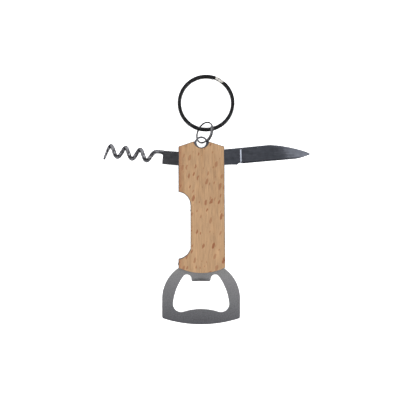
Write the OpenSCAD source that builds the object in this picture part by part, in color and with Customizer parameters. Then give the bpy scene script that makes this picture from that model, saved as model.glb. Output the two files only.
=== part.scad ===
// Souvenir bottle opener with a wooden handle, a folding knife, a folding corkscrew and a key ring.
// Lies flat on its rear wood face. Origin at the centre of that face; +X right, +Y to the key ring,
// +Z up towards the front face. Millimetres.

/* [Handle] */
// Height of the side edges above the centre line
shoulder_y = 31.9; // [25:0.1:40]
// Distance from the centre line to the left edge
left_edge = 11.7; // [9:0.05:15]
// Distance from the centre line to the right edge at the top
right_edge_top = 12.0; // [9:0.05:15]
// Distance from the centre line to the right edge at the bottom
right_edge_bottom = 12.6; // [9:0.05:15]
// Height of the flat top of the handle
top_y = 34.7; // [30:0.1:42]
// Half width of the flat top
top_half = 4.1; // [3:0.1:8]
// Lowest point of the curved bottom edge
bottom_y = -34.8; // [-45:0.1:-25]
// Radius of the curved bottom edge
bottom_radius = 28; // [18:1:60]

/* [Layers] */
// Thickness of each beech scale
wood = 2.5; // [1.5:0.1:5]
// Thickness of the rear steel liner
liner = 1; // [0.6:0.1:2]
// Room between the steel plates for the folding tools
tool_gap = 2.4; // [1.6:0.1:4]
// Thickness of the opener plate
plate = 1.5; // [1:0.1:3]
// How far the steel stands proud of the wood
reveal = 0.3; // [0:0.05:1]

/* [Worm bay] */
// Distance from the centre line to the straight wall of the bay
bay_wall = 5.3; // [4:0.1:9]
// Height of the upper end of the bay
bay_top = 8.3; // [0:0.1:15]
// Height of the lower end of the bay
bay_bottom = -27.7; // [-30:0.1:-15]
// Radius of the rounded upper end
bay_top_radius = 7.2; // [4:0.1:8]
// Radius of the rounded lower end
bay_bottom_radius = 7.7; // [4:0.1:9]

/* [Opener head] */
// Full width of the head
head_width = 41.3; // [34:0.1:50]
// Lowest point of the head
head_bottom = -62.1; // [-75:0.1:-50]
// Radius of the round shoulders
shoulder_radius = 19.7; // [12:0.1:24]
// Height where the shoulders turn into the straight sides
shoulder_end = -48.5; // [-55:0.1:-40]
// Radius of the curved lower edge of the head
lower_radius = 66; // [40:1:120]
// Radius of the two lower corners
corner_radius = 1.2; // [0.5:0.1:5]
// Half width of the tab that presses on the cap
tab_half = 5; // [3:0.1:8]
// Height of the tip of the tab
tab_tip = -39.3; // [-45:0.1:-36]
// Radius of the curved lip that grips the cap
lip_radius = 30; // [20:1:60]

/* [Eyelet] */
// Height of the eyelet centre
eye_y = 34; // [30:0.1:38]
// Radius of the eyelet hole
eye_radius = 2.5; // [1.5:0.1:4]
// Outer radius of the ear round the hole
ear_radius = 3.4; // [2.5:0.1:6]
// Radius of the cut-out in the wood round the eyelet
eye_clear = 4.2; // [2.5:0.05:5]
// How far the centre of that cut-out sits above the eyelet
eye_clear_up = 1.15; // [0:0.1:2]

/* [Knife] */
// Angle of the opened blade above level
knife_rest = 5; // [0:1:20]
// Thickness of the blade
blade_thick = 1.8; // [1:0.1:3]
// Length from the pivot to the tip
blade_length = 50.1; // [30:0.1:60]
// Height of the spine above the pivot
spine = 4.3; // [2:0.1:6]
// Depth of the cutting edge below the pivot
edge = 4.1; // [2:0.1:6]

/* [Corkscrew] */
// Angle of the opened corkscrew above level
cork_rest = 5; // [0:1:20]
// Diameter of the wire
wire = 2.1; // [1:0.1:3]
// Outer diameter of the worm
worm_width = 7.6; // [5:0.1:10]
// Advance of the worm in one turn
pitch = 7.8; // [5:0.1:12]
// Length of the worm measured along its axis
worm_length = 29.0; // [15:0.1:40]
// Length of the tang from the pivot
tang_length = 12.5; // [8:0.1:20]

/* [Key ring] */
// Outer diameter of the split ring
ring_width = 30.3; // [15:0.1:40]
// Radial width of the split ring band
ring_band = 1.9; // [1:0.1:4]
// Thickness of one turn of the split ring
ring_turn = 1.4; // [0.8:0.1:3]
// Outer diameter of the small jump ring
jump_width = 12.4; // [8:0.1:16]
// Wire diameter of the jump ring
jump_wire = 0.85; // [0.5:0.05:2]

/* [Hidden] */
$fn = 72;

WOOD = "#bb9875";
STEEL = "#8a8b8e";
DARK = "#46484c";
BLACK = "#2a2b2d";

// heights of the layers
liner_z = wood;
tool_z = liner_z + liner;
plate_z = tool_z + tool_gap;
front_z = plate_z + plate;
tool_mid = tool_z + tool_gap / 2;
through = 40;
skin = 0.01;

// rivets
rivet = 1.5;
running = 0.05;
rivet_head = 2.2;
head_height = 0.5;
pocket = 2.6;
pocket_depth = 0.8;
knife_pivot = [8.2, 26];
cork_pivot = [-8.1, 23.3];
middle_rivet = [-1.4, -6];
lower_rivet = [0.3, -30.6];
RIVETS = [knife_pivot, cork_pivot, middle_rivet, lower_rivet];

// centre of the curved bottom edge of the handle
bottom_x = 0.3;
bottom_centre = bottom_y + bottom_radius;
eye_x = 0.1;

// points of an arc from angle a to angle b
function arc(c, r, a, b, n) =
    [for (i = [0:n]) [c[0] + r * cos(a + (b - a) * i / n), c[1] + r * sin(a + (b - a) * i / n)]];
function unit(v) = v / norm(v);
function mirror_x(points) = [for (i = [len(points) - 1:-1:0]) [-points[i][0], points[i][1]]];
// angle of the direction from p to q
function heading(p, q) = atan2(q[1] - p[1], q[0] - p[0]);
// the meeting point, on the left, of a circle round p and a circle round q
function meet(p, rp, q, rq) =
    let (d = norm(q - p), a = (rp * rp - rq * rq + d * d) / (2 * d))
    let (h = sqrt(rp * rp - a * a), u = (q - p) / d)
    p + a * u + h * [u[1], -u[0]];

// ---- handle outlines ----

// share of the drop of the top that the shoulders take, so that the rim stays even on the slopes
slope_share = 0.7;

// the wood's outline at grow = 0, the steel's at grow = reveal
module handle_outline(grow) {
    l = left_edge + grow;
    drop = reveal - grow;
    top = top_y - drop;
    y = shoulder_y + reveal / 2 - slope_share * drop;
    intersection() {
        polygon([[-l, bottom_y - 1], [right_edge_bottom + grow, bottom_y - 1],
                 [right_edge_top + grow, y], [top_half, top], [-top_half, top], [-l, y]]);
        union() {
            translate([bottom_x, bottom_centre])
                circle(bottom_radius + grow, $fn = 180);
            translate([-through / 2, bottom_centre])
                square([through, through + 5]);
        }
    }
}

// the rounded ends of the bay are centred a little outside the left edge
bay_top_out = 0.9;
bay_low_out = 1.1;
bay_low_drop = 2.3;
bay_reach = 8;

module bay_outline(shrink) {
    top_centre = [-left_edge - bay_top_out, bay_top - bay_top_radius];
    low_centre = [-left_edge - bay_low_out, bay_bottom + bay_bottom_radius];
    depth = left_edge + bay_reach - bay_wall - shrink;
    intersection() {
        union() {
            translate(top_centre)
                circle(bay_top_radius - shrink);
            translate(low_centre)
                circle(bay_bottom_radius - shrink);
            translate([-left_edge - bay_reach, low_centre[1] - bay_low_drop])
                square([depth, top_centre[1] - low_centre[1] + bay_low_drop]);
        }
        translate([-left_edge - bay_reach, bay_bottom - 2])
            square([depth, bay_top - bay_bottom + 4]);
    }
}

module rivet_holes(r) {
    for (p = RIVETS)
        translate(p)
            circle(r);
}

module scale_board(z, pocket_z) {
    difference() {
        translate([0, 0, z])
            linear_extrude(wood)
                difference() {
                    handle_outline(0);
                    bay_outline(0);
                    translate([2 * eye_x, eye_y + eye_clear_up])
                        circle(eye_clear);
                }
        for (p = RIVETS)
            translate([p[0], p[1], pocket_z])
                cylinder(r = pocket, h = pocket_depth + skin);
    }
}

module front_scale() {
    color(WOOD)
        scale_board(front_z, front_z - skin);
}

module rear_scale() {
    color(WOOD)
        scale_board(0, wood - pocket_depth);
}

module rear_liner() {
    color(STEEL)
        translate([0, 0, liner_z])
            linear_extrude(liner)
                difference() {
                    handle_outline(reveal);
                    bay_outline(reveal);
                    rivet_holes(rivet);
                    translate([2 * eye_x, eye_y + eye_clear_up])
                        circle(eye_clear);
                }
}

// ---- opener plate: liner, head and ear stamped from one sheet ----

head_half = head_width / 2;
shoulder_x = head_half - shoulder_radius;
lower_centre = head_bottom + lower_radius;
corner_x = head_half - corner_radius;
corner_y = lower_centre - sqrt(pow(lower_radius - corner_radius, 2) - pow(corner_x, 2));
corner_dir = heading([0, lower_centre], [corner_x, corner_y]);

// right half of the head, from the bottom centre up to the handle
head_right = concat(
    arc([0, lower_centre], lower_radius, -90, corner_dir, 30),
    arc([corner_x, corner_y], corner_radius, corner_dir, 0, 8),
    arc([shoulder_x, shoulder_end], shoulder_radius, 0, 56.5, 40));

// right half of the mouth, from the lip centre round to the tab
upper_lobe = [7.5, -38];
upper_lobe_radius = 2.35;
lower_lobe = [10.55, -51.3];
lower_lobe_radius = 4.3;
side_radius = 29.4;
side_centre = meet(upper_lobe, side_radius - upper_lobe_radius, lower_lobe, side_radius - lower_lobe_radius);
lip_centre = [0, lower_lobe[1] - sqrt(pow(lip_radius + lower_lobe_radius, 2) - pow(lower_lobe[0], 2))];
lip_dir = heading(lip_centre, lower_lobe);
low_dir = heading(side_centre, lower_lobe);
high_dir = heading(side_centre, upper_lobe);
tab_corner = 0.6;

mouth_right = concat(
    arc(lip_centre, lip_radius, 90, lip_dir, 10),
    arc(lower_lobe, lower_lobe_radius, lip_dir - 180, low_dir, 30),
    arc(side_centre, side_radius, low_dir, high_dir, 20),
    arc(upper_lobe, upper_lobe_radius, high_dir, 182, 24),
    arc([tab_half - tab_corner, tab_tip + tab_corner], tab_corner, 0, -90, 6));

// cone that cuts the bevel on the front of the tab
bevel_centre = tab_tip - 6.8;
bevel_radius = 7;
bevel_top_radius = 8.8;
bevel_depth = 1;

module tab_bevel() {
    intersection() {
        translate([0, bevel_centre, front_z - bevel_depth])
            cylinder(r1 = bevel_radius, r2 = bevel_top_radius, h = bevel_depth + skin, $fn = 120);
        translate([-tab_half - 1, tab_tip - 1, plate_z])
            cube([2 * tab_half + 2, 4, plate + 1]);
    }
}

// half widths of the ear where it leaves the plate and where it meets its round end
ear_foot = 4.1;
ear_neck = 2.9;

module opener_plate() {
    color(STEEL)
        difference() {
            translate([0, 0, plate_z])
                linear_extrude(plate)
                    difference() {
                        union() {
                            difference() {
                                handle_outline(reveal);
                                bay_outline(reveal);
                            }
                            polygon(concat(head_right, mirror_x(head_right)));
                            translate([eye_x, eye_y])
                                circle(ear_radius);
                            polygon([[eye_x - ear_foot, top_y - 0.6], [eye_x + ear_foot, top_y - 0.6],
                                     [eye_x + ear_neck, eye_y + 1.8], [eye_x - ear_neck, eye_y + 1.8]]);
                        }
                        translate([eye_x, eye_y])
                            circle(eye_radius);
                        polygon(concat(mouth_right, mirror_x(mouth_right)));
                        rivet_holes(rivet);
                    }
            tab_bevel();
        }
}

// ---- centre spring between the two tool bays ----

spring_right = 3.2;
spring_left = 5.6;
spring_neck = 4.1;
spring_top = 30.5;
spring_waist = 15;
spring_waist_top = 19;
slot = 1.2;
slot_x = -0.4;
slot_end = 2;
bump_y = -1.8;
bump_radius = 0.6;

module centre_spring() {
    color(STEEL)
        translate([0, 0, tool_z])
            linear_extrude(tool_gap)
                difference() {
                    union() {
                        polygon([[-spring_left, bottom_y + 5], [spring_right, bottom_y + 5],
                                 [spring_right, spring_top - 1], [spring_right - 1, spring_top],
                                 [-spring_neck + 1, spring_top], [-spring_neck, spring_top - 1],
                                 [-spring_neck, spring_waist_top], [-spring_left, spring_waist]]);
                        intersection() {
                            handle_outline(-0.2);
                            translate([-through / 2, bottom_y - 1])
                                square([through, 6.2]);
                        }
                        translate([-left_edge, bottom_y + 4.6])
                            circle(0.8);
                        translate([-spring_left + 0.45, bump_y])
                            circle(bump_radius);
                    }
                    translate([slot_x - slot / 2, slot_end])
                        square([slot, spring_top]);
                    translate([slot_x, slot_end])
                        circle(slot / 2 + 0.3);
                    translate(middle_rivet)
                        circle(rivet);
                    translate(lower_rivet)
                        circle(rivet);
                }
}

// ---- rivets ----

module rivet_at(p) {
    translate([p[0], p[1], liner_z - head_height])
        union() {
            cylinder(r = rivet_head, h = head_height);
            cylinder(r = rivet, h = liner + tool_gap + plate + 2 * head_height);
            translate([0, 0, head_height + liner + tool_gap + plate])
                cylinder(r = rivet_head, h = head_height);
        }
}

module knife_pivot_rivet() {
    color(STEEL)
        rivet_at(knife_pivot);
}

module corkscrew_pivot_rivet() {
    color(STEEL)
        rivet_at(cork_pivot);
}

module middle_spring_rivet() {
    color(STEEL)
        rivet_at(middle_rivet);
}

module lower_spring_rivet() {
    color(STEEL)
        rivet_at(lower_rivet);
}

// ---- knife ----

heel = 4;
plunge = 12.6;
edge_thick = 0.5;
bevel_height = 0.7;
clip_start = 28;

// curved clip from the spine down to the tip, t from 0 to 1
function clip(t) = [
    clip_start + (blade_length - clip_start) * t,
    spine + 0.2 - 0.5 * t - 5.6 * pow(t, 1.5) - 0.7 * pow(t, 12)];
// belly of the cutting edge up to the tip
function belly(t) = [
    41.6 + (blade_length - 41.6) * t,
    -edge + (clip(1)[1] + edge) * pow(t, 1.6)];

blade_profile = concat(
    [[0, -heel], [9, -heel - 0.3]],
    arc([10.1, -heel + 0.4], 0.95, -90, -20, 5),
    [[11.7, -heel + 0.3], [12.6, -heel + 0.3], [plunge + 0.6, -edge]],
    [for (i = [0:12]) belly(i / 12)],
    [for (i = [19:-1:0]) clip(i / 20)],
    [[4, spine - 0.1], [0, heel]]);

module ground_flank() {
    // one flank of the flat grind, from the full thickness at the spine to the thin edge
    rotate([90, 0, 90])
        linear_extrude(blade_length)
            polygon([[spine + 1, blade_thick / 2], [-edge + bevel_height, edge_thick],
                     [-edge - skin, 0], [-edge - 2, 0], [-edge - 2, 2], [spine + 1, 2]]);
}

module knife_blade() {
    color(DARK)
        translate([knife_pivot[0], knife_pivot[1], tool_mid])
            rotate([0, 0, knife_rest])
                difference() {
                    translate([0, 0, -blade_thick / 2])
                        linear_extrude(blade_thick)
                            union() {
                                circle(heel);
                                polygon(blade_profile);
                            }
                    translate([0, 0, -blade_thick])
                        cylinder(r = rivet + running, h = 2 * blade_thick);
                    translate([plunge, 0, 0])
                        ground_flank();
                    translate([plunge, 0, 0])
                        mirror([0, 0, 1])
                            ground_flank();
                }
}

// ---- corkscrew ----

tang_low = 1.6;
tang_high = 5.65;
cork_heel = 3.5;
worm_tilt = 2;
worm_start = 14.5;
worm_axis_y = 2.0;
ease = 5;
taper = 3.2;
tip_share = 0.5;
flare = 2.6;
flare_length = 4.5;
sides = 12;

worm_radius = (worm_width - wire) / 2;
// unit vectors of the worm: along its axis to the tip, and square to it
along = [-cos(worm_tilt), sin(worm_tilt), 0];
across = [sin(worm_tilt), cos(worm_tilt), 0];
front = [0, 0, 1];

// turn angle of the wire at distance a from the start of the worm
function turn(a) = 360 / pitch * (a <= 0 ? 0 : a < ease ? a * a / (2 * ease) : a - ease / 2);
// wire radius, thinning towards the tip
function thickness(a) =
    let (t = max(0, (a - worm_length + taper) / taper))
    wire / 2 * (1 - (1 - tip_share) * pow(t, 1.5));
// how far the last stretch of the worm opens outwards
function opening(a) = let (t = max(0, (a - worm_length + flare_length) / flare_length)) flare * pow(t, 5);
function worm_point(a) =
    let (r = worm_radius + wire / 2 - thickness(a) + opening(a), w = turn(a))
    [-worm_start, worm_axis_y, 0] + a * along + r * (cos(w) * across - sin(w) * front);

// skin of a tube: rings of points joined side by side, closed by a fan at each end
module tube(rings) {
    n = len(rings);
    m = len(rings[0]);
    polyhedron(
        points = [for (r = rings) each r],
        faces = concat(
            [[for (j = [m - 1:-1:0]) j]],
            [for (i = [0:n - 2]) for (j = [0:m - 1])
                [i * m + j, (i + 1) * m + (j + 1) % m, (i + 1) * m + j]],
            [for (i = [0:n - 2]) for (j = [0:m - 1])
                [i * m + j, i * m + (j + 1) % m, (i + 1) * m + (j + 1) % m]],
            [[for (j = [0:m - 1]) (n - 1) * m + j]]));
}

function worm_ring(a) =
    let (p = worm_point(a), t = unit(worm_point(a + 0.05) - worm_point(a - 0.05)), w = turn(a),
         e = cos(w) * across - sin(w) * front, u = unit(e - (e * t) * t), v = cross(t, u))
    [for (j = [0:sides - 1]) p + thickness(a) * (cos(360 * j / sides) * u - sin(360 * j / sides) * v)];

worm_steps = concat([-3, -1.5, -0.5], [for (i = [0:14]) ease * i / 14],
    [for (i = [1:94]) ease + (worm_length - ease) * i / 94]);

module corkscrew() {
    color(DARK)
        translate([cork_pivot[0], cork_pivot[1], tool_mid])
            rotate([0, 0, -cork_rest])
                union() {
                    difference() {
                        translate([0, 0, -blade_thick / 2])
                            linear_extrude(blade_thick)
                                union() {
                                    circle(cork_heel);
                                    polygon([[0, cork_heel], [-1.5, cork_heel], [-3.4, tang_high],
                                             [-tang_length - 1.1, tang_high - 0.1],
                                             [-tang_length - 1.6, tang_high - 0.6],
                                             [-tang_length - 1.4, tang_high - 1.8],
                                             [-tang_length, tang_high - 2.4],
                                             [-tang_length, -tang_low + 0.2],
                                             [-tang_length + 0.2, -tang_low],
                                             [-3.2, -tang_low], [-2, -2.8]]);
                                }
                        translate([0, 0, -blade_thick])
                            cylinder(r = rivet + running, h = 2 * blade_thick);
                    }
                    tube([for (a = worm_steps) worm_ring(a)]);
                }
}

// ---- key ring ----

ring_x = 2.64;
ring_y = 55.3;
ring_lift = 2;
ring_mean = (ring_width - ring_band) / 2;
ring_gap = 0.1;
jog_angle = 71.5;
jog_length = 20;
wound = 695;
ring_tilt = -asin(ring_lift / (ring_width - ring_band));
band_corner = 0.35;

// the height of the band along its two turns, stepping up over the jog
function band_height(w) =
    let (t = min(1, max(0, (w - 360 + jog_length + 2) / jog_length)))
    (ring_turn + ring_gap) * (t - 0.5);

band_half = ring_band / 2;
turn_half = ring_turn / 2;
band_section = concat(
    arc([band_half - band_corner, turn_half - band_corner], band_corner, 0, 90, 2),
    arc([-band_half + band_corner, turn_half - band_corner], band_corner, 90, 180, 2),
    arc([-band_half + band_corner, -turn_half + band_corner], band_corner, 180, 270, 2),
    arc([band_half - band_corner, -turn_half + band_corner], band_corner, 270, 360, 2));

function band_ring(w) =
    let (a = w + jog_angle, e = [cos(a), sin(a), 0])
    [for (s = band_section) (ring_mean + s[0]) * e + [0, 0, band_height(w) + s[1]]];

module split_ring() {
    color(BLACK)
        translate([ring_x, ring_y, ring_turn + ring_gap / 2 + ring_lift / 2 + 0.05])
            rotate([ring_tilt, 0, 0])
                tube([for (i = [0:139]) band_ring(2 + wound * i / 139)]);
}

jump_x = 1.84;
jump_y = 39.5;
jump_z = 5.3;
jump_turn = 21.4;
jump_lean = 50.5;
jump_step = 1;
jump_overlap = 90;
jump_mean = (jump_width - jump_wire) / 2;
jump_from = -jump_overlap / 2;
jump_span = 360 + jump_overlap;
jump_sides = 12;

function jump_ring_at(w) =
    let (e = [cos(w), sin(w), 0], h = jump_step * ((w - jump_from) / 360 - jump_span / 720))
    [for (j = [0:jump_sides - 1])
        (jump_mean + jump_wire / 2 * cos(360 * j / jump_sides)) * e
        + [0, 0, h + jump_wire / 2 * sin(360 * j / jump_sides)]];

module jump_ring() {
    color(DARK)
        translate([jump_x, jump_y, jump_z])
            rotate([0, 0, -jump_turn])
                rotate([0, -jump_lean, 0])
                    tube([for (i = [0:90]) jump_ring_at(jump_from + jump_span * i / 90)]);
}

rear_scale();
rear_liner();
centre_spring();
opener_plate();
front_scale();
knife_pivot_rivet();
corkscrew_pivot_rivet();
middle_spring_rivet();
lower_spring_rivet();
knife_blade();
corkscrew();
jump_ring();
split_ring();
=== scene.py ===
"""Souvenir bottle opener with a beech handle, a folding knife, a folding corkscrew and a key ring.

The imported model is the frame. Its flat parts are copied and given softened edges, and the worm,
the blade and the two rings are made afresh as fine meshes on the same sizes.
"""

import logging
import math
from collections.abc import Mapping, Sequence
from dataclasses import dataclass, field
from enum import Enum
from typing import Any

import bmesh
import bpy
import numpy as np
from mathutils import Matrix, Vector


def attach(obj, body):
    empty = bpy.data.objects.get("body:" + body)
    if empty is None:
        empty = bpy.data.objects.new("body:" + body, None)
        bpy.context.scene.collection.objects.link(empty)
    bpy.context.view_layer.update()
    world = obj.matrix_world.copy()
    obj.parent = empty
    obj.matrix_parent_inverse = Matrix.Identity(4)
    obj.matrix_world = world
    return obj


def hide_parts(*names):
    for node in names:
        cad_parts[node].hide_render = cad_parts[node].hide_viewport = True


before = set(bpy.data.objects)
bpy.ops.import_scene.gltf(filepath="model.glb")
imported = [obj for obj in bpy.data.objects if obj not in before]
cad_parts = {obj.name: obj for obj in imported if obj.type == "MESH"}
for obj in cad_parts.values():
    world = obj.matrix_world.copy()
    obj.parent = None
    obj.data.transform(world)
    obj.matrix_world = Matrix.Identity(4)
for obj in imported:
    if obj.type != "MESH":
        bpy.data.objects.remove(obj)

LOG = logging.getLogger("opener")
MM = 0.001
# flat pieces are shaded smooth across edges less sharp than this many degrees
PLATE_SMOOTH = 38
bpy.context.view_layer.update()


class Body(Enum):
    """The moving bodies of the opener."""

    HANDLE = "handle"
    KNIFE = "knife"
    CORKSCREW = "corkscrew"
    JUMP_RING = "jump_ring"
    SPLIT_RING = "split_ring"


class Slot(Enum):
    """The finishes that the record names."""

    WOOD = "wood"
    SATIN = "satin_steel"
    RIVET = "rivet_steel"
    POLISHED = "polished_steel"
    RING = "ring_metal"


def linear(colour: str) -> tuple[float, float, float, float]:
    """Turns an sRGB hex colour into linear RGBA.

    Args:
        colour: Six hex digits after a hash sign.

    Returns:
        Linear red, green and blue, and an alpha of 1.
    """
    parts = [int(colour[i:i + 2], 16) / 255 for i in (1, 3, 5)]
    red, green, blue = (p / 12.92 if p <= 0.04045 else ((p + 0.055) / 1.055) ** 2.4 for p in parts)
    return red, green, blue, 1.0


def per_mm(x: float, y: float, z: float) -> tuple[float, float, float]:
    """Gives the pattern scale for cells of the given sizes in millimetres."""
    return 1 / (x * MM), 1 / (y * MM), 1 / (z * MM)


def add_node(
    tree: bpy.types.NodeTree,
    kind: str,
    settings: Mapping[str, Any] | None = None,
    inputs: Mapping[str | int, Any] | None = None,
) -> bpy.types.Node:
    """Adds one node with its settings, values and links.

    Args:
        tree: The node tree of a material or a world.
        kind: The node's type name.
        settings: Attributes to set on the node.
        inputs: Socket name or number to a value, or to an output socket to link.

    Returns:
        The new node.
    """
    node = tree.nodes.new(kind)
    for key, value in (settings or {}).items():
        setattr(node, key, value)
    for key, value in (inputs or {}).items():
        if isinstance(value, bpy.types.NodeSocket):
            tree.links.new(value, node.inputs[key])
        else:
            node.inputs[key].default_value = value
    return node


def paint_ramp(node: bpy.types.Node, stops: Sequence[tuple[float, str]]) -> None:
    """Sets the stops of a colour ramp.

    Args:
        node: The ramp node.
        stops: Position and sRGB hex colour of each stop, in order.
    """
    band = node.color_ramp
    while len(band.elements) < len(stops):
        band.elements.new(0.5)
    for element, (place, colour) in zip(band.elements, stops):
        element.position = place
        element.color = linear(colour)


def start_material(name: str) -> tuple[bpy.types.Material, bpy.types.NodeTree, bpy.types.Node]:
    """Starts a node material.

    Args:
        name: The material's name.

    Returns:
        The material, its node tree and its Principled shader.
    """
    material = bpy.data.materials.new(name)
    material.use_nodes = True
    tree = material.node_tree
    return material, tree, tree.nodes["Principled BSDF"]


# ---- finishes ----


@dataclass(frozen=True)
class PlanedBeech:
    """Steamed beech, planed and sanded, its outline cut by laser and left unoiled.

    It is warm pinkish tan and matt. Short brown ray flecks lie along the grain, and the cut
    edge is charred to dark brown.
    """

    name: str = "planed_beech"
    light: str = "#a3815d"
    middle: str = "#9b7a57"
    dark: str = "#926f4b"
    fleck: str = "#763f1a"
    scorch: str = "#80502f"
    char: str = "#281a13"
    roughness: float = 0.58
    band_mm: float = 5.0
    band_length_mm: float = 55.0
    grain_mm: float = 0.55
    grain_length_mm: float = 7.0
    fleck_width_mm: float = 2.4
    fleck_length_mm: float = 5.8
    fleck_lean: float = 15.0
    fleck_sharpness: float = 11.0
    wander_mm: float = 1.6
    drift_mm: float = 0.9
    scorch_from_mm: float = -12.0
    scorch_to_mm: float = -8.9

    def material(self) -> bpy.types.Material:
        """Builds the material.

        Returns:
            The new material.
        """
        made, tree, shader = start_material(self.name)
        spot = add_node(tree, "ShaderNodeTexCoord")
        # slow bands of tone across the board, about one growth ring wide
        bands = add_node(tree, "ShaderNodeMapping", inputs={
            "Vector": spot.outputs["Object"],
            "Scale": per_mm(self.band_mm, self.band_length_mm, self.band_mm)})
        tone = add_node(tree, "ShaderNodeTexNoise", inputs={
            "Vector": bands.outputs["Vector"], "Scale": 1.0, "Detail": 2.0, "Roughness": 0.55})
        base = add_node(tree, "ShaderNodeValToRGB", inputs={"Fac": tone.outputs["Fac"]})
        paint_ramp(base, [(0.32, self.dark), (0.47, self.middle), (0.66, self.light)])
        # fine fibre lines, drawn a little coarser than the real 0.2 mm so that they show
        lines = add_node(tree, "ShaderNodeMapping", inputs={
            "Vector": spot.outputs["Object"],
            "Scale": per_mm(self.grain_mm, self.grain_length_mm, self.grain_mm)})
        fibre = add_node(tree, "ShaderNodeTexNoise", inputs={
            "Vector": lines.outputs["Vector"], "Scale": 1.0, "Detail": 3.0, "Roughness": 0.6})
        shade = add_node(tree, "ShaderNodeMapRange", inputs={
            "Value": fibre.outputs["Fac"], "From Min": 0.35, "From Max": 0.65,
            "To Min": 0.78, "To Max": 1.11})
        fibred = add_node(tree, "ShaderNodeVectorMath", {"operation": "SCALE"}, {
            0: base.outputs["Color"], "Scale": shade.outputs["Result"]})
        # ray flecks: short lens shapes along the grain, each with its own size
        wander = add_node(tree, "ShaderNodeTexNoise", inputs={
            "Vector": spot.outputs["Object"], "Scale": 1 / (self.wander_mm * MM),
            "Detail": 1.0})
        drift = add_node(tree, "ShaderNodeVectorMath", {"operation": "SCALE"}, {
            0: wander.outputs["Color"], "Scale": self.drift_mm * MM})
        drifted = add_node(tree, "ShaderNodeVectorMath", {"operation": "ADD"}, {
            0: spot.outputs["Object"], 1: drift.outputs["Vector"]})
        leaned = add_node(tree, "ShaderNodeMapping", inputs={
            "Vector": drifted.outputs["Vector"], "Rotation": (0.0, 0.0, math.radians(self.fleck_lean))})
        cells = add_node(tree, "ShaderNodeMapping", inputs={
            "Vector": leaned.outputs["Vector"],
            "Scale": per_mm(self.fleck_width_mm, self.fleck_length_mm, self.fleck_length_mm)})
        ray = add_node(tree, "ShaderNodeTexVoronoi", {"voronoi_dimensions": "2D"}, {
            "Vector": cells.outputs["Vector"], "Scale": 1.0, "Randomness": 1.0})
        lot = add_node(tree, "ShaderNodeSeparateColor", inputs={"Color": ray.outputs["Color"]})
        reach = add_node(tree, "ShaderNodeMapRange", inputs={
            "Value": lot.outputs["Red"], "From Min": 0.12, "From Max": 1.0,
            "To Min": 0.03, "To Max": 0.36})
        inside = add_node(tree, "ShaderNodeMath", {"operation": "SUBTRACT"}, {
            0: reach.outputs["Result"], 1: ray.outputs["Distance"]})
        mask = add_node(tree, "ShaderNodeMath", {"operation": "MULTIPLY", "use_clamp": True}, {
            0: inside.outputs["Value"], 1: self.fleck_sharpness})
        depth = add_node(tree, "ShaderNodeMapRange", inputs={
            "Value": lot.outputs["Green"], "To Min": 0.4, "To Max": 0.9})
        strength = add_node(tree, "ShaderNodeMath", {"operation": "MULTIPLY"}, {
            0: mask.outputs["Value"], 1: depth.outputs["Result"]})
        flecked = add_node(tree, "ShaderNodeMix", {"data_type": "RGBA"}, {
            "Factor": strength.outputs["Value"], 6: fibred.outputs["Vector"], 7: linear(self.fleck)})
        # the laser's heat has reddened the wood along the long straight side
        across = add_node(tree, "ShaderNodeSeparateXYZ", inputs={"Vector": spot.outputs["Object"]})
        warmed = add_node(tree, "ShaderNodeMapRange", inputs={
            "Value": across.outputs["X"], "From Min": self.scorch_from_mm * MM,
            "From Max": self.scorch_to_mm * MM, "To Min": 0.8, "To Max": 0.0})
        scorched = add_node(tree, "ShaderNodeMix", {"data_type": "RGBA"}, {
            "Factor": warmed.outputs["Result"], 6: flecked.outputs[2], 7: linear(self.scorch)})
        # the char itself lies on every face that isn't the planed front or back
        side = add_node(tree, "ShaderNodeNewGeometry")
        parts = add_node(tree, "ShaderNodeSeparateXYZ", inputs={"Vector": side.outputs["Normal"]})
        flat = add_node(tree, "ShaderNodeMath", {"operation": "ABSOLUTE"}, {0: parts.outputs["Z"]})
        burnt = add_node(tree, "ShaderNodeMapRange", inputs={
            "Value": flat.outputs["Value"], "From Min": 0.85, "From Max": 0.99,
            "To Min": 0.95, "To Max": 0.0})
        whole = add_node(tree, "ShaderNodeMix", {"data_type": "RGBA"}, {
            "Factor": burnt.outputs["Result"], 6: scorched.outputs[2], 7: linear(self.char)})
        height = add_node(tree, "ShaderNodeMath", {"operation": "SUBTRACT"}, {
            0: fibre.outputs["Fac"], 1: mask.outputs["Value"]})
        relief = add_node(tree, "ShaderNodeBump", inputs={
            "Strength": 0.25, "Distance": 0.03 * MM, "Height": height.outputs["Value"]})
        matt = add_node(tree, "ShaderNodeMapRange", inputs={
            "Value": fibre.outputs["Fac"],
            "To Min": self.roughness - 0.08, "To Max": self.roughness + 0.1})
        tree.links.new(whole.outputs[2], shader.inputs["Base Color"])
        tree.links.new(matt.outputs["Result"], shader.inputs["Roughness"])
        tree.links.new(relief.outputs["Normal"], shader.inputs["Normal"])
        shader.inputs["IOR"].default_value = 1.5
        return made


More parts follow.
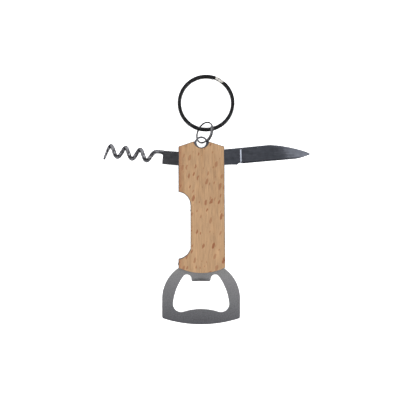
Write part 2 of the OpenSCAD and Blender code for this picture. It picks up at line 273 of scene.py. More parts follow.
@dataclass(frozen=True)
class TumbledSteel:
    """Stainless steel sheet, stamped and then tumbled smooth.

    It gives a mid grey with a fine cloudy speckle and no grain direction. Its colour is set at
    heights along the piece, in millimetres, as painted shade and light: darker at the low end,
    lighter up to -31 mm and darker again from -29 mm up.
    """

    name: str = "tumbled_stainless_steel"
    # painted shade and light: the colour at heights along the piece, in millimetres
    painted_shade_tones: tuple[tuple[float, str], ...] = (
        (-62, "#6d6d71"), (-50, "#89898b"), (-40, "#989799"),
        (-31, "#a8a7a5"), (-29, "#6b6d72"), (38, "#6b6d72"))
    roughness: float = 0.34
    speckle_mm: float = 0.75
    cloud_mm: float = 7.0
    cloud_share: float = 0.5
    contrast: float = 0.24

    def material(self) -> bpy.types.Material:
        """Builds the material.

        Returns:
            The new material.
        """
        made, tree, shader = start_material(self.name)
        spot = add_node(tree, "ShaderNodeTexCoord")
        speckle = add_node(tree, "ShaderNodeTexNoise", inputs={
            "Vector": spot.outputs["Object"], "Scale": 1 / (self.speckle_mm * MM), "Detail": 3.0,
            "Roughness": 0.65})
        cloud = add_node(tree, "ShaderNodeTexNoise", inputs={
            "Vector": spot.outputs["Object"], "Scale": 1 / (self.cloud_mm * MM), "Detail": 1.0})
        mixed = add_node(tree, "ShaderNodeMath", {"operation": "MULTIPLY_ADD"}, {
            0: cloud.outputs["Fac"], 1: self.cloud_share, 2: speckle.outputs["Fac"]})
        shade = add_node(tree, "ShaderNodeMapRange", inputs={
            "Value": mixed.outputs["Value"], "From Min": 0.5, "From Max": 1.0,
            "To Min": 1 - self.contrast, "To Max": 1 + self.contrast})
        # painted shade and light: darker at the low end, lighter up to -31 mm, darker again from -29 mm up
        low, high = self.painted_shade_tones[0][0], self.painted_shade_tones[-1][0]
        along = add_node(tree, "ShaderNodeSeparateXYZ", inputs={"Vector": spot.outputs["Object"]})
        share = add_node(tree, "ShaderNodeMapRange", inputs={
            "Value": along.outputs["Y"], "From Min": low * MM, "From Max": high * MM})
        painted_light_and_shade = add_node(tree, "ShaderNodeValToRGB", inputs={"Fac": share.outputs["Result"]})
        paint_ramp(painted_light_and_shade, [((y - low) / (high - low), tone) for y, tone in self.painted_shade_tones])
        tint = add_node(tree, "ShaderNodeVectorMath", {"operation": "SCALE"}, {
            0: painted_light_and_shade.outputs["Color"], "Scale": shade.outputs["Result"]})
        dull = add_node(tree, "ShaderNodeMapRange", inputs={
            "Value": mixed.outputs["Value"], "From Min": 0.5, "From Max": 1.0,
            "To Min": self.roughness + 0.05, "To Max": self.roughness - 0.05})
        relief = add_node(tree, "ShaderNodeBump", inputs={
            "Strength": 0.18, "Distance": 0.01 * MM, "Height": speckle.outputs["Fac"]})
        tree.links.new(tint.outputs["Vector"], shader.inputs["Base Color"])
        tree.links.new(dull.outputs["Result"], shader.inputs["Roughness"])
        tree.links.new(relief.outputs["Normal"], shader.inputs["Normal"])
        shader.inputs["Metallic"].default_value = 1.0
        return made


@dataclass(frozen=True)
class PolishedSteel:
    """Hardened stainless steel, buffed on a wheel.

    It mirrors the dark ceiling, so flat faces look dark and rounded ones carry sharp glints.
    Fine buffing lines run along the piece, and the stretch beyond `dull_from_mm` is left duller,
    across a line that slants by `slant` and meets that distance at `slant_y_mm`.
    """

    name: str
    colour: str = "#a9abb1"
    roughness: float = 0.14
    dull_roughness: float = 0.4
    dull_from_mm: float = 1000.0
    dull_over_mm: float = 4.0
    slant: float = 0.6
    slant_y_mm: float = 29.0
    line_mm: float = 0.3
    line_length_mm: float = 6.0
    cloud_mm: float = 2.2
    rim: str = "#a0a0a0"
    dent_mm: float = 0.0

    def material(self) -> bpy.types.Material:
        """Builds the material.

        Returns:
            The new material.
        """
        made, tree, shader = start_material(self.name)
        spot = add_node(tree, "ShaderNodeTexCoord")
        lines = add_node(tree, "ShaderNodeMapping", inputs={
            "Vector": spot.outputs["Object"],
            "Scale": per_mm(self.line_length_mm, self.line_mm, self.line_mm)})
        buff = add_node(tree, "ShaderNodeTexNoise", inputs={
            "Vector": lines.outputs["Vector"], "Scale": 1.0, "Detail": 3.0, "Roughness": 0.6})
        cloud = add_node(tree, "ShaderNodeTexNoise", inputs={
            "Vector": spot.outputs["Object"], "Scale": 1 / (self.cloud_mm * MM), "Detail": 3.0})
        both = add_node(tree, "ShaderNodeMath", {"operation": "ADD"}, {
            0: buff.outputs["Fac"], 1: cloud.outputs["Fac"]})
        shade = add_node(tree, "ShaderNodeMapRange", inputs={
            "Value": both.outputs["Value"], "From Min": 0.7, "From Max": 1.3,
            "To Min": 0.74, "To Max": 1.26})
        tint = add_node(tree, "ShaderNodeVectorMath", {"operation": "SCALE"}, {
            0: linear(self.colour)[:3], "Scale": shade.outputs["Result"]})
        where = add_node(tree, "ShaderNodeSeparateXYZ", inputs={"Vector": spot.outputs["Object"]})
        slant = add_node(tree, "ShaderNodeMath", {"operation": "MULTIPLY_ADD"}, {
            0: where.outputs["Y"], 1: self.slant, 2: where.outputs["X"]})
        start = (self.dull_from_mm + self.slant * self.slant_y_mm) * MM
        dull = add_node(tree, "ShaderNodeMapRange", {"interpolation_type": "SMOOTHSTEP"}, {
            "Value": slant.outputs["Value"], "From Min": start, "From Max": start + self.dull_over_mm * MM,
            "To Min": self.roughness, "To Max": self.dull_roughness})
        grit = add_node(tree, "ShaderNodeMath", {"operation": "MULTIPLY_ADD"}, {
            0: buff.outputs["Fac"], 1: 0.06, 2: dull.outputs["Result"]})
        relief = add_node(tree, "ShaderNodeBump", inputs={
            "Strength": 0.08, "Distance": 0.008 * MM, "Height": buff.outputs["Fac"]})
        if self.dent_mm:
            # the coiling tool leaves the wire a little uneven, which breaks its glints into dashes
            relief = add_node(tree, "ShaderNodeBump", inputs={
                "Strength": 1.0, "Distance": self.dent_mm * MM, "Height": cloud.outputs["Fac"],
                "Normal": relief.outputs["Normal"]})
        tree.links.new(tint.outputs["Vector"], shader.inputs["Base Color"])
        tree.links.new(grit.outputs["Value"], shader.inputs["Roughness"])
        tree.links.new(relief.outputs["Normal"], shader.inputs["Normal"])
        shader.inputs["Metallic"].default_value = 1.0
        shader.inputs["Specular Tint"].default_value = linear(self.rim)
        return made


@dataclass(frozen=True)
class BlackNickel:
    """Steel wire plated with black nickel.

    It is nearly black, with small bright glints and slight wear that lets grey through. On a ring
    whose centre is given, a pale painted highlight, broken up by the wear noise, lies where the
    band steps from one turn to the next.
    """

    name: str
    colour: str = "#303031"
    worn: str = "#4b4b4c"
    rim: str = "#707070"
    roughness: float = 0.22
    wear_mm: float = 1.6
    # painted highlight: the pale colour of the patch where the band steps from turn to turn
    painted_glint: str = "#8a8883"
    painted_glint_round_mm: tuple[float, float] | None = None
    painted_glint_degrees: float = 59.5
    painted_glint_spread: float = 10.5

    def material(self) -> bpy.types.Material:
        """Builds the material.

        Returns:
            The new material.
        """
        made, tree, shader = start_material(self.name)
        spot = add_node(tree, "ShaderNodeTexCoord")
        wear = add_node(tree, "ShaderNodeTexNoise", inputs={
            "Vector": spot.outputs["Object"], "Scale": 1 / (self.wear_mm * MM), "Detail": 4.0})
        tint = add_node(tree, "ShaderNodeValToRGB", inputs={"Fac": wear.outputs["Fac"]})
        paint_ramp(tint, [(0.45, self.colour), (0.75, self.worn)])
        dull = add_node(tree, "ShaderNodeMapRange", inputs={
            "Value": wear.outputs["Fac"],
            "To Min": self.roughness - 0.05, "To Max": self.roughness + 0.12})
        colour = tint.outputs["Color"]
        # painted highlight: a pale patch round the ring's step from turn to turn, broken up by the wear
        # noise
        if self.painted_glint_round_mm:
            across, along = self.painted_glint_round_mm
            middle = add_node(tree, "ShaderNodeVectorMath", {"operation": "SUBTRACT"}, {
                0: spot.outputs["Object"], 1: (across * MM, along * MM, 0.0)})
            parts = add_node(tree, "ShaderNodeSeparateXYZ", inputs={
                "Vector": middle.outputs["Vector"]})
            angle = add_node(tree, "ShaderNodeMath", {"operation": "ARCTAN2"}, {
                0: parts.outputs["Y"], 1: parts.outputs["X"]})
            near = add_node(tree, "ShaderNodeMath", {"operation": "COMPARE"}, {
                0: angle.outputs["Value"], 1: math.radians(self.painted_glint_degrees),
                2: math.radians(self.painted_glint_spread)})
            glint_breakup = add_node(tree, "ShaderNodeMapRange", inputs={
                "Value": wear.outputs["Fac"], "From Min": 0.46, "From Max": 0.5,
                "To Min": 0.3, "To Max": 1.0})
            amount = add_node(tree, "ShaderNodeMath", {"operation": "MULTIPLY"}, {
                0: near.outputs["Value"], 1: glint_breakup.outputs["Result"]})
            painted_light_and_shade = add_node(tree, "ShaderNodeMix", {"data_type": "RGBA"}, {
                "Factor": amount.outputs["Value"], 6: colour, 7: linear(self.painted_glint)})
            colour = painted_light_and_shade.outputs[2]
        tree.links.new(colour, shader.inputs["Base Color"])
        tree.links.new(dull.outputs["Result"], shader.inputs["Roughness"])
        shader.inputs["Metallic"].default_value = 1.0
        shader.inputs["Specular Tint"].default_value = linear(self.rim)
        return made


@dataclass(frozen=True)
class OpalTable:
    """White opal acrylic table top, sanded matt and lit a little from below.

    The even glow lifts the shadows, so the floor looks plain white.
    """

    name: str = "white_opal_acrylic_table"
    colour: str = "#f4f4f4"
    glow: float = 0.8
    sanding_mm: float = 2.0

    def material(self) -> bpy.types.Material:
        """Builds the material.

        Returns:
            The new material.
        """
        made, tree, shader = start_material(self.name)
        spot = add_node(tree, "ShaderNodeTexCoord")
        sanding = add_node(tree, "ShaderNodeTexNoise", inputs={
            "Vector": spot.outputs["Object"], "Scale": 1 / (self.sanding_mm * MM), "Detail": 2.0})
        rough = add_node(tree, "ShaderNodeMapRange", inputs={
            "Value": sanding.outputs["Fac"], "To Min": 0.85, "To Max": 0.95})
        tree.links.new(rough.outputs["Result"], shader.inputs["Roughness"])
        shader.inputs["Base Color"].default_value = linear(self.colour)
        shader.inputs["Specular IOR Level"].default_value = 0.0
        shader.inputs["Emission Color"].default_value = linear(self.colour)
        shader.inputs["Emission Strength"].default_value = self.glow
        return made


# ---- shared mesh work ----


def place(
    name: str,
    mesh: bpy.types.Mesh,
    body: Body,
    slot: Slot,
    material: bpy.types.Material,
    stands_for: str | None = None,
) -> bpy.types.Object:
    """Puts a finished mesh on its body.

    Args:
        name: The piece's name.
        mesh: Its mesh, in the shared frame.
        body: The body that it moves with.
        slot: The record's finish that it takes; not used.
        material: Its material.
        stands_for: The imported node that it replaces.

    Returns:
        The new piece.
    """
    piece = bpy.data.objects.new(name, mesh)
    bpy.context.scene.collection.objects.link(piece)
    mesh.materials.clear()
    mesh.materials.append(material)
    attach(piece, body.value)
    if stands_for:
        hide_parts(stands_for)
    # wide flat faces keep their own shading right up to the rounded edges
    level = piece.modifiers.new("level_shading", "WEIGHTED_NORMAL")
    level.keep_sharp = True
    level.weight = 100
    LOG.info("%s on %s: %d faces", name, body.value, len(mesh.polygons))
    return piece


def smooth_by_angle(mesh: bpy.types.Mesh, degrees: float) -> None:
    """Shades a mesh smooth.

    Args:
        mesh: The mesh to shade.
        degrees: Edges sharper than this stay sharp.
    """
    for face in mesh.polygons:
        face.use_smooth = True
    mesh.set_sharp_from_angle(angle=math.radians(degrees))


def round_edges(work: bmesh.types.BMesh, width_mm: float, segments: int, degrees: float) -> None:
    """Rounds the sharp edges of a mesh.

    Args:
        work: The mesh in work.
        width_mm: How far the rounding reaches from each edge.
        segments: Steps across the rounding.
        degrees: Edges sharper than this are rounded.
    """
    least = math.radians(degrees)
    sharp = [e for e in work.edges if len(e.link_faces) == 2 and e.calc_face_angle(0.0) > least]
    bmesh.ops.bevel(
        work, geom=sharp, offset=width_mm * MM, segments=segments, profile=0.5, affect="EDGES",
        clamp_overlap=True)


def softened(node: str, width_mm: float, segments: int = 2) -> bpy.types.Mesh:
    """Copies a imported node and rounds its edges.

    Args:
        node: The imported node's name.
        width_mm: How far the rounding reaches from each edge.
        segments: Steps across the rounding.

    Returns:
        The new mesh.
    """
    work = bmesh.new()
    work.from_mesh(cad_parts[node].data)
    bmesh.ops.remove_doubles(work, verts=work.verts, dist=0.0005 * MM)
    bmesh.ops.dissolve_limit(
        work, angle_limit=math.radians(0.4), verts=work.verts, edges=work.edges, delimit=set())
    round_edges(work, width_mm, segments, 35)
    bmesh.ops.triangulate(work, faces=[f for f in work.faces if len(f.verts) > 4])
    mesh = bpy.data.meshes.new(node + "_mesh")
    work.to_mesh(mesh)
    work.free()
    smooth_by_angle(mesh, PLATE_SMOOTH)
    return mesh


def skin_rings(name: str, rings: np.ndarray, smooth_degrees: float = 60.0) -> bpy.types.Mesh:
    """Joins rings of points into a closed tube.

    Args:
        name: The mesh's name.
        rings: Points as an array of ring, corner and coordinate, in millimetres.
        smooth_degrees: Edges sharper than this stay sharp.

    Returns:
        The closed mesh, in metres.
    """
    count, sides, _ = rings.shape
    faces = [
        (i * sides + j, i * sides + (j + 1) % sides, (i + 1) * sides + (j + 1) % sides, (i + 1) * sides + j)
        for i in range(count - 1) for j in range(sides)]
    faces.append(tuple(range(sides - 1, -1, -1)))
    faces.append(tuple((count - 1) * sides + j for j in range(sides)))
    mesh = bpy.data.meshes.new(name)
    mesh.from_pydata((rings.reshape(-1, 3) * MM).tolist(), [], faces)
    work = bmesh.new()
    work.from_mesh(mesh)
    bmesh.ops.recalc_face_normals(work, faces=work.faces)
    work.to_mesh(mesh)
    work.free()
    smooth_by_angle(mesh, smooth_degrees)
    return mesh


def turned(points: np.ndarray, degrees: float, axis: str) -> np.ndarray:
    """Turns points about an axis through the origin.

    Args:
        points: Array whose last dimension is x, y and z.
        degrees: Right-handed angle.
        axis: X, Y or Z.

    Returns:
        The turned points.
    """
    matrix = np.array(Matrix.Rotation(math.radians(degrees), 3, axis))
    return points @ matrix.T


def drilled_plate(
    name: str,
    outline: Sequence[tuple[float, float]],
    hole: tuple[float, float],
    hole_radius: float,
    half_thickness: float,
    edge: float,
) -> bpy.types.Mesh:
    """Cuts a flat plate with one round hole and softened edges, centred on z = 0.

    Args:
        name: The mesh's name.
        outline: Corners of the plate, anticlockwise, in millimetres.
        hole: Centre of the hole.
        hole_radius: Radius of the hole.
        half_thickness: Half of the plate's thickness.
        edge: Width of the edge rounding.

    Returns:
        The mesh, in metres.
    """
    work = bmesh.new()
    steps = 40
    rim = [(hole[0] + hole_radius * math.cos(math.tau * k / steps),
            hole[1] + hole_radius * math.sin(math.tau * k / steps)) for k in range(steps)]
    edges = []
    for loop in (outline, rim):
        verts = [work.verts.new((x * MM, y * MM, -half_thickness * MM)) for x, y in loop]
        edges += [work.edges.new((verts[i], verts[(i + 1) % len(verts)])) for i in range(len(verts))]
    bmesh.ops.triangle_fill(work, use_beauty=True, use_dissolve=False, edges=edges)
    lifted = bmesh.ops.extrude_face_region(work, geom=list(work.faces))
    moved = [v for v in lifted["geom"] if isinstance(v, bmesh.types.BMVert)]
    bmesh.ops.translate(work, verts=moved, vec=(0, 0, 2 * half_thickness * MM))
    bmesh.ops.recalc_face_normals(work, faces=work.faces)
    round_edges(work, edge, 2, 40)
    mesh = bpy.data.meshes.new(name)
    work.to_mesh(mesh)
    work.free()
    smooth_by_angle(mesh, PLATE_SMOOTH)
    return mesh


def joined(name: str, meshes: Sequence[bpy.types.Mesh]) -> bpy.types.Mesh:
    """Puts several meshes into one.

    Args:
        name: The new mesh's name.
        meshes: The meshes to join.

    Returns:
        One mesh that holds them all.
    """
    work = bmesh.new()
    for mesh in meshes:
        work.from_mesh(mesh)
    mesh = bpy.data.meshes.new(name)
    work.to_mesh(mesh)
    work.free()
    return mesh


def arc_points(
    x: float, y: float, radius: float, start: float, end: float, steps: int,
) -> list[tuple[float, float]]:
    """Gives the points of an arc, from one angle in degrees to another."""
    angles = [math.radians(start + (end - start) * k / steps) for k in range(steps + 1)]
    return [(x + radius * math.cos(a), y + radius * math.sin(a)) for a in angles]


# ---- the handle ----


@dataclass
class Handle:
    """The layered handle: two beech scales, the rear liner, the centre spring and the rivets."""

    wood_edge_mm: float = 0.38
    steel_edge_mm: float = 0.1
    rivet_edge_mm: float = 0.2
    beech: PlanedBeech = field(default_factory=PlanedBeech)
    steel: TumbledSteel = field(default_factory=lambda: TumbledSteel(name="tumbled_liner_steel"))

    def build(self) -> None:
        """Builds and dresses every piece of the handle."""
        wood = self.beech.material()
        steel = self.steel.material()
        for node in ("front_scale", "rear_scale"):
            board = softened(node, self.wood_edge_mm)
            place(node + "_beech", board, Body.HANDLE, Slot.WOOD, wood, node)
        for node in ("rear_liner", "centre_spring"):
            sheet = softened(node, self.steel_edge_mm)
            place(node + "_steel", sheet, Body.HANDLE, Slot.SATIN, steel, node)
        for name in ("knife_pivot", "corkscrew_pivot", "middle_spring", "lower_spring"):
            node = name + "_rivet"
            rivet = softened(node, self.rivet_edge_mm, 3)
            place(node + "_steel", rivet, Body.HANDLE, Slot.RIVET, steel, node)


@dataclass
class OpenerPlate:
    """The stamped plate: front liner, ear and cap lifter head in one sheet."""

    edge_mm: float = 0.16
    steel: TumbledSteel = field(default_factory=TumbledSteel)

    def build(self) -> None:
        """Builds and dresses the plate."""
        plate = softened("opener_plate", self.edge_mm, 3)
        place("opener_plate_steel", plate, Body.HANDLE, Slot.SATIN, self.steel.material(),
              "opener_plate")


# ---- the knife ----


@dataclass
class Knife:
    """The folding blade: a flat tang with a pivot hole, a plunge cut and a flat-ground blade."""

    pivot_mm: tuple[float, float, float] = (8.2, 26.0, 4.7)
    rest_degrees: float = 5.0
    half_thick: float = 0.9
    heel: float = 4.0
    seam: float = 3.0
    spine: float = 4.2
    edge: float = -4.1
    length: float = 50.1
    clip_start: float = 28.0
    belly_start: float = 41.6
    plunge: float = 12.3
    plunge_width: float = 0.75
    plunge_lean: float = 0.063
    bore: float = 1.55
    soft_edge: float = 0.12
    # how much thinner each flank is than the tang, at the spine and at the cutting bevel, and how
    # much more it thins from taper_start to the tip
    spine_ground: float = 0.24
    spine_thinning: float = 0.38
    bevel_ground: float = 0.3
    bevel_thinning: float = 0.36
    taper_start: float = 36.0
    edge_half_thick: float = 0.04
    bevel_height: float = 0.8
    finish: PolishedSteel = field(default_factory=lambda: PolishedSteel(
        name="buffed_blade_steel", colour="#686b73", dull_roughness=0.37, dull_from_mm=39.5,
        dull_over_mm=11.0))

    def spine_at(self, x: float) -> float:
        """Works out the height of the spine.

        Args:
            x: Distance from the pivot.

        Returns:
            The height above the pivot.
        """
        if x < self.clip_start:
            return self.spine + 0.3 * (x - 4) / (self.clip_start - 4)
        t = (x - self.clip_start) / (self.length - self.clip_start)
        return self.spine + 0.3 - 0.5 * t - 5.6 * t ** 1.5 - 0.7 * t ** 12

    def edge_at(self, x: float) -> float:
        """Works out the height of the cutting edge, with the kick and the notch near the tang.

        Args:
            x: Distance from the pivot.

        Returns:
            The height above the pivot.
        """
        if x > self.belly_start:
            t = (x - self.belly_start) / (self.length - self.belly_start)
            return self.edge + (self.spine_at(self.length) - self.edge) * t ** 1.6
        kick = [(3.0, -4.0), (6.0, -4.1), (9.0, -4.32), (10.2, -4.5), (10.7, -4.48), (10.95, -4.25),
                (11.2, -3.9), (11.7, -3.72), (12.3, -3.72), (12.9, -3.95), (13.5, self.edge),
                (self.belly_start, self.edge)]
        return float(np.interp(x, [k[0] for k in kick], [k[1] for k in kick]))

    def section(self, x: float) -> list[tuple[float, float, float]]:
        """One section of the blade, as a ring from the spine round the edge and back.

        Args:
            x: Distance from the pivot.

        Returns:
            The ring's points in the blade's own frame.
        """
        top, low = self.spine_at(x), self.edge_at(x)
        span = top - low
        s = min(1.0, max(0.0, (x - self.plunge) / self.plunge_width))
        ground = s * s * (3 - 2 * s)
        taper = min(1.0, max(0.0, (x - self.taper_start) / (self.length - self.taper_start)))
        at_spine = self.half_thick - ground * (self.spine_ground + self.spine_thinning * taper)
        at_bevel = self.half_thick - ground * (self.bevel_ground + self.bevel_thinning * taper)
        at_edge = (self.half_thick - 0.1) * (1 - ground) + self.edge_half_thick * ground
        bevel = (self.soft_edge * (1 - ground) + self.bevel_height * ground) * min(1.0, span / 3)
        soft = min(self.soft_edge, 0.2 * span)
        side = [(top, max(0.03, at_spine - soft)), (top - 0.35 * soft, at_spine - 0.3 * soft),
                (top - soft, at_spine)]
        rows = 6
        for k in range(1, rows + 1):
            t = k / rows
            side.append((top - soft + (low + bevel - top + soft) * t, at_spine + (at_bevel - at_spine) * t))
        side.append((low, at_edge))
        near_plunge = min(1.0, max(0.0, (x - 8) / 3), max(0.0, (26 - x) / 10))
        lean = self.plunge_lean * near_plunge
        front = [(x + lean * (y - self.edge), y, z) for y, z in side]
        back = [(px, py, -pz) for px, py, pz in reversed(front)]
        return front + back

    def mesh(self) -> bpy.types.Mesh:
        """Builds the whole knife in the shared frame.

        Returns:
            The mesh of tang and blade.
        """
        open_angle = math.degrees(math.acos(self.seam / self.heel))
        heel = arc_points(0, 0, self.heel, open_angle, 360 - open_angle, 60)
        outline = heel + [(self.seam + 0.02, self.edge_at(3)), (self.seam + 0.02, self.spine_at(3.0))]
        tang = drilled_plate("tang", outline, (0, 0), self.bore, self.half_thick, 0.06)
        stations = np.concatenate([
            np.linspace(self.seam, 8, 8), np.linspace(8.2, self.plunge, 48)[:-1],
            np.linspace(self.plunge, self.plunge + self.plunge_width, 14)[:-1],
            np.linspace(self.plunge + self.plunge_width, 28, 32)[:-1],
            np.linspace(28, self.length - 0.6, 60)[:-1],
            np.linspace(self.length - 0.6, self.length - 0.02, 8)])
        blade = skin_rings("blade", np.array([self.section(float(x)) for x in stations]), 32)
        whole = joined("knife", [tang, blade])
        turn = Matrix.Rotation(math.radians(self.rest_degrees), 4, "Z")
        whole.transform(Matrix.Translation(Vector(self.pivot_mm) * MM) @ turn)
        return whole

    def build(self) -> None:
        """Builds and dresses the knife."""
        place("knife_blade_steel", self.mesh(), Body.KNIFE, Slot.POLISHED, self.finish.material(),
              "knife_blade")


# ---- the corkscrew ----


@dataclass
class Corkscrew:
    """The folding corkscrew: a flat tang that runs out into a right-handed wire worm."""

    pivot_mm: tuple[float, float, float] = (-8.1, 23.3, 4.7)
    rest_degrees: float = -5.0
    half_thick: float = 0.9
    heel: float = 3.5
    tang_length: float = 12.5
    tang_low: float = 1.6
    tang_high: float = 5.65
    wire: float = 2.1
    worm_width: float = 7.6
    pitch: float = 7.8
    worm_length: float = 29.0
    worm_start: float = 14.5
    worm_axis: float = 2.0
    worm_tilt: float = 2.0
    ease: float = 5.0
    taper: float = 3.2
    tip_share: float = 0.5
    flare: float = 2.6
    flare_length: float = 4.5
    bore: float = 1.55
    sides: int = 24
    finish: PolishedSteel = field(default_factory=lambda: PolishedSteel(
        name="buffed_worm_steel", colour="#646467", roughness=0.17, rim="#505050", dent_mm=0.12))

    def wire_radius(self, a: float) -> float:
        """Works out the wire's radius at a distance from the start of the worm."""
        t = max(0.0, (a - self.worm_length + self.taper) / self.taper)
        return self.wire / 2 * (1 - (1 - self.tip_share) * t ** 1.5)

    def turn_at(self, a: float) -> float:
        """Works out how far, in radians, the wire has turned at a distance from the worm's start."""
        eased = 0.0 if a <= 0 else a * a / (2 * self.ease) if a < self.ease else a - self.ease / 2
        return math.tau / self.pitch * eased

    def directions(self) -> tuple[np.ndarray, np.ndarray, np.ndarray]:
        """Gives the worm's own directions: along it, across it and out of the front."""
        c, s = math.cos(math.radians(self.worm_tilt)), math.sin(math.radians(self.worm_tilt))
        return np.array([-c, s, 0.0]), np.array([s, c, 0.0]), np.array([0.0, 0.0, 1.0])

    def centre(self, a: float) -> np.ndarray:
        """Works out the centre of the wire.

        Args:
            a: Distance from the start of the worm.

        Returns:
            The centre, from the pivot.
        """
        along, across, front = self.directions()
        w = self.turn_at(a)
        t = max(0.0, (a - self.worm_length + self.flare_length) / self.flare_length)
        reach = self.worm_width / 2 - self.wire_radius(a) + self.flare * t ** 5
        start = np.array([-self.worm_start, self.worm_axis, 0.0])
        return start + a * along + reach * (math.cos(w) * across - math.sin(w) * front)

    def wire_ring(self, a: float) -> np.ndarray:
        """Works out one ring of points round the wire.

        Args:
            a: Distance from the start of the worm.

        Returns:
            The ring's points, from the pivot.
        """
        _, across, front = self.directions()
        w = self.turn_at(a)
        way = self.centre(a + 0.05) - self.centre(a - 0.05)
        way /= np.linalg.norm(way)
        out = math.cos(w) * across - math.sin(w) * front
        out = out - (out @ way) * way
        out /= np.linalg.norm(out)
        side = np.cross(way, out)
        angles = np.linspace(0, math.tau, self.sides, endpoint=False)
        return self.centre(a) + self.wire_radius(a) * (
            np.outer(np.cos(angles), out) + np.outer(np.sin(angles), side))

    def tang_outline(self) -> list[tuple[float, float]]:
        """Draws the flat tang with its round heel and its nose.

        Returns:
            The outline's points, anticlockwise.
        """
        end, high, low = -self.tang_length, self.tang_high, -self.tang_low
        nose = [(-1.5, self.heel), (-3.4, high), (end - 1.0, high - 0.06), (end - 1.5, high - 0.4),
                (end - 1.65, high - 1.1), (end - 1.35, high - 1.8), (end, high - 2.4)]
        foot = [(end, low + 0.15), (end + 0.15, low), (-3.2, low)]
        return arc_points(0, 0, self.heel, -126.9, 90, 48) + nose + foot

    def mesh(self) -> bpy.types.Mesh:
        """Builds the whole corkscrew in the shared frame.

        Returns:
            The mesh of tang and worm.
        """
        tang = drilled_plate("tang", self.tang_outline(), (0, 0), self.bore, self.half_thick, 0.1)
        steps = np.concatenate([np.linspace(-2.4, 0, 8)[:-1], np.linspace(0, self.worm_length, 440)])
        worm = skin_rings("worm", np.array([self.wire_ring(float(a)) for a in steps]), 50)
        whole = joined("corkscrew", [tang, worm])
        turn = Matrix.Rotation(math.radians(self.rest_degrees), 4, "Z")
        whole.transform(Matrix.Translation(Vector(self.pivot_mm) * MM) @ turn)
        return whole

    def build(self) -> None:
        """Builds and dresses the corkscrew."""
        place("corkscrew_steel", self.mesh(), Body.CORKSCREW, Slot.POLISHED, self.finish.material(),
              "corkscrew")


# ---- the key ring ----


@dataclass
class KeyRing:
    """The two-turn split ring and the small jump ring that ties it to the eyelet."""

    ring_centre: tuple[float, float] = (2.64, 55.3)
    ring_lift: float = 2.0
    ring_width: float = 30.3
    band: float = 1.9
    turn: float = 1.4
    gap: float = 0.1
    jog_angle: float = 71.5
    jog_length: float = 20.0
    wound: float = 695.0
    band_corner: float = 0.4
    jump_centre: tuple[float, float, float] = (1.84, 39.5, 5.3)
    jump_turn: float = 21.4
    jump_lean: float = 50.5
    jump_width: float = 12.4
    jump_wire: float = 0.85
    jump_overlap: float = 90.0
    # the split ring's finish paints a pale highlight round the step between its turns
    split_finish: BlackNickel = field(default_factory=lambda: BlackNickel(
        name="black_nickel_split_ring", painted_glint_round_mm=(2.64, 55.3)))
    jump_finish: BlackNickel = field(default_factory=lambda: BlackNickel(
        name="worn_nickel_jump_ring", colour="#505052", worn="#7e7e80", roughness=0.24))

    def band_height(self, w: float) -> float:
        """Works out the band's height after w degrees, with its step from turn to turn."""
        t = min(1.0, max(0.0, (w - 360 + self.jog_length + 2) / self.jog_length))
        return (self.turn + self.gap) * (t - 0.5)

    def band_section(self) -> list[tuple[float, float]]:
        """Draws the rounded section of the flattened wire.

        Returns:
            The outline's points, outwards and upwards from its middle.
        """
        x, z, r = self.band / 2 - self.band_corner, self.turn / 2 - self.band_corner, self.band_corner
        return (arc_points(x, z, r, 0, 90, 5) + arc_points(-x, z, r, 90, 180, 5)
                + arc_points(-x, -z, r, 180, 270, 5) + arc_points(x, -z, r, 270, 360, 5))

    def split_ring(self) -> bpy.types.Mesh:
        """Winds the split ring.

        Returns:
            Its mesh in the shared frame.
        """
        mean = (self.ring_width - self.band) / 2
        rings = []
        for w in np.linspace(2, 2 + self.wound, 557):
            a = math.radians(w + self.jog_angle)
            rings.append([((mean + x) * math.cos(a), (mean + x) * math.sin(a), self.band_height(w) + z)
                          for x, z in self.band_section()])
        tilt = -math.degrees(math.asin(self.ring_lift / (self.ring_width - self.band)))
        level = self.turn + self.gap / 2 + self.ring_lift / 2 + 0.05
        points = turned(np.array(rings), tilt, "X") + np.array([*self.ring_centre, level])
        return skin_rings("split_ring", points, 40)

    def jump_ring(self) -> bpy.types.Mesh:
        """Winds the jump ring, whose two ends lie side by side.

        Returns:
            Its mesh in the shared frame.
        """
        mean, span = (self.jump_width - self.jump_wire) / 2, 360 + self.jump_overlap
        corner = np.linspace(0, math.tau, 20, endpoint=False)
        rings = []
        for w in np.linspace(-self.jump_overlap / 2, span - self.jump_overlap / 2, 260):
            a, rise = math.radians(w), (w + self.jump_overlap / 2) / 360 - span / 720
            reach = mean + self.jump_wire / 2 * np.cos(corner)
            rings.append(np.stack([reach * math.cos(a), reach * math.sin(a),
                                   rise + self.jump_wire / 2 * np.sin(corner)], axis=1))
        leaned = turned(np.array(rings), -self.jump_lean, "Y")
        points = turned(leaned, -self.jump_turn, "Z") + np.array(self.jump_centre)
        return skin_rings("jump_ring", points, 50)

    def build(self) -> None:
        """Builds and dresses both rings."""
        place("jump_ring_wire", self.jump_ring(), Body.JUMP_RING, Slot.RING,
              self.jump_finish.material(), "jump_ring")
        place("split_ring_band", self.split_ring(), Body.SPLIT_RING, Slot.RING,
              self.split_finish.material(), "split_ring")


# ---- studio ----


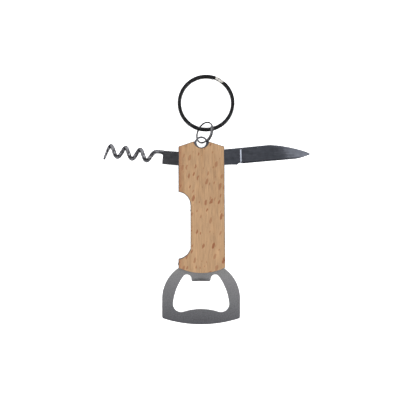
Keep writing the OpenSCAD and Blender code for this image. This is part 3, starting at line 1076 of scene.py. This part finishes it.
@dataclass
class Studio:
    """White table top, soft side lights and a dim ceiling, with the camera straight above."""

    view_width_mm: float = 212.0
    centre_x_mm: float = -0.58
    centre_y_mm: float = 3.71
    camera_height_mm: float = 750.0
    look_height_mm: float = 6.0
    sensor_mm: float = 36.0

    def camera(self) -> None:
        """Makes the camera, looking straight down with the key ring at the top."""
        data = bpy.data.cameras.new("camera")
        data.sensor_width = self.sensor_mm
        data.lens = self.sensor_mm * (self.camera_height_mm - self.look_height_mm) / self.view_width_mm
        data.clip_start = 0.01
        camera = bpy.data.objects.new("camera", data)
        camera.location = (self.centre_x_mm * MM, self.centre_y_mm * MM, self.camera_height_mm * MM)
        bpy.context.scene.collection.objects.link(camera)
        bpy.context.scene.camera = camera

    def floor(self) -> None:
        """Lays the table top."""
        mesh = bpy.data.meshes.new("floor")
        work = bmesh.new()
        bmesh.ops.create_grid(work, x_segments=8, y_segments=8, size=1.6)
        work.to_mesh(mesh)
        work.free()
        mesh.materials.append(OpalTable().material())
        floor = bpy.data.objects.new("floor", mesh)
        floor.location.z = -0.05 * MM
        bpy.context.scene.collection.objects.link(floor)

    def light(self, name: str, place_mm: tuple[float, float, float], size_mm: float, watts: float) -> None:
        """Hangs one square soft light that faces the opener.

        Args:
            name: The light's name.
            place_mm: Its place.
            size_mm: The length of its side.
            watts: Its power.
        """
        data = bpy.data.lights.new(name, "AREA")
        data.shape = "SQUARE"
        data.size = size_mm * MM
        data.energy = watts
        lamp = bpy.data.objects.new(name, data)
        lamp.location = Vector(place_mm) * MM
        lamp.rotation_euler = (-lamp.location).to_track_quat("-Z", "Y").to_euler()
        bpy.context.scene.collection.objects.link(lamp)

    def sky(self) -> None:
        """Makes the room: dim overhead, paler towards the horizon and darker on the near side."""
        world = bpy.data.worlds.new("room")
        bpy.context.scene.world = world
        world.use_nodes = True
        tree = world.node_tree
        back = tree.nodes["Background"]
        way = add_node(tree, "ShaderNodeTexCoord")
        parts = add_node(tree, "ShaderNodeSeparateXYZ", inputs={"Vector": way.outputs["Generated"]})
        level = add_node(tree, "ShaderNodeMapRange", inputs={
            "Value": parts.outputs["Z"], "From Min": 0.1, "From Max": 0.85, "To Min": 1.1, "To Max": 0.38})
        side = add_node(tree, "ShaderNodeMath", {"operation": "MULTIPLY_ADD"}, {
            0: parts.outputs["Y"], 1: 0.75, 2: 1.0})
        both = add_node(tree, "ShaderNodeMath", {"operation": "MULTIPLY"}, {
            0: level.outputs["Result"], 1: side.outputs["Value"]})
        tree.links.new(both.outputs["Value"], back.inputs["Strength"])
        back.inputs["Color"].default_value = linear("#fbfcff")

    def build(self) -> None:
        """Lays the floor and hangs the lights."""
        self.floor()
        self.sky()
        self.light("left_softbox", (-640, 200, 600), 800, 3.4)
        self.light("right_softbox", (470, -60, 620), 420, 3.9)
        self.light("far_softbox", (60, 760, 540), 800, 2.8)
        self.light("near_softbox", (-360, -260, 500), 170, 0.8)


def main() -> None:
    """Builds the studio and every sub-assembly in order."""
    logging.basicConfig(level=logging.INFO, format="%(name)s %(message)s")
    studio = Studio()
    studio.camera()
    for part in (Handle(), OpenerPlate(), Knife(), Corkscrew(), KeyRing()):
        LOG.info("building %s", type(part).__name__)
        part.build()
    studio.build()
    bpy.context.scene.view_settings.view_transform = "Standard"


if __name__ == "__main__":
    main()
